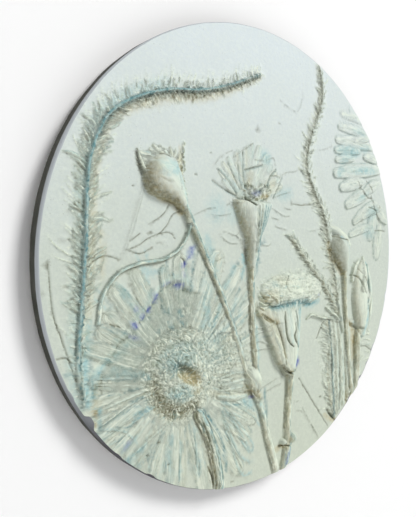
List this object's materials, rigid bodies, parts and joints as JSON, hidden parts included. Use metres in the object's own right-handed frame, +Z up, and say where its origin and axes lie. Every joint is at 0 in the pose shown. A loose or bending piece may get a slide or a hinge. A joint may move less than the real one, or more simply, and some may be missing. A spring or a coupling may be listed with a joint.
{
  "type": "decorative wall plaque",
  "caption": "Round cast plaster wall plaque with a botanical relief of wild flowers, to hang flat on a wall.",
  "frame": {"origin": "centre of the flat back, where the plaque meets the wall", "axes": "+Z up the face, +Y out of the back into the wall, +X to the right as seen from the front"},
  "size_m": [0.25, 0.0174, 0.25],
  "materials": {
    "washed_plaster": "matte cast plaster with thin blue, green and ochre washes, and a charcoal painted side wall"
  },
  "bodies": {
    "root": {"plaque": "washed_plaster"}
  },
  "joints": []
}
